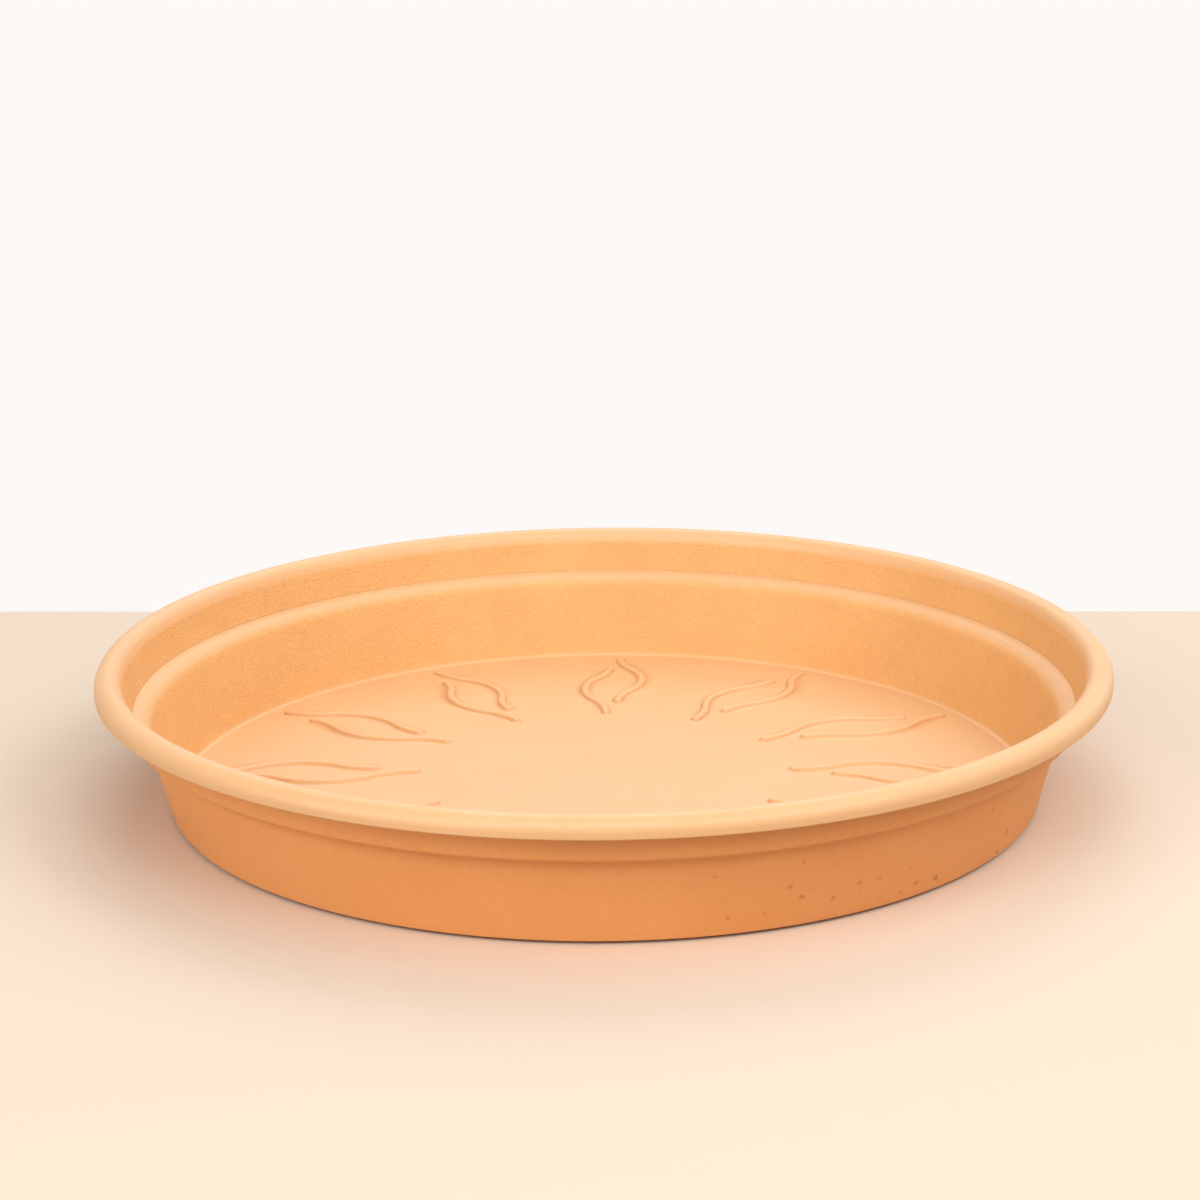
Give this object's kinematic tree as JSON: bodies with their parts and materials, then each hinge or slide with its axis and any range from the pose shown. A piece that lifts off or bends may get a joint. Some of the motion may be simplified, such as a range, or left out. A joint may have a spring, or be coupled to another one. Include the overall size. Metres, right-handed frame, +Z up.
{
  "type": "plant saucer",
  "caption": "Round shallow plastic saucer with a stepped wall, a turned-down lip and raised leaf ribs on its floor, to stand under a plant pot and catch water.",
  "frame": {"origin": "on the saucer's axis, at the flat ring that it stands on", "axes": "+Z up along the saucer's axis, +Y along the middle line of one leaf"},
  "size_m": [0.25, 0.25, 0.035],
  "materials": {
    "saucer_plastic": "fine moulded grain on the walls, smoother satin on the floor and lip"
  },
  "bodies": {
    "root": {"saucer": "saucer_plastic"}
  },
  "joints": []
}
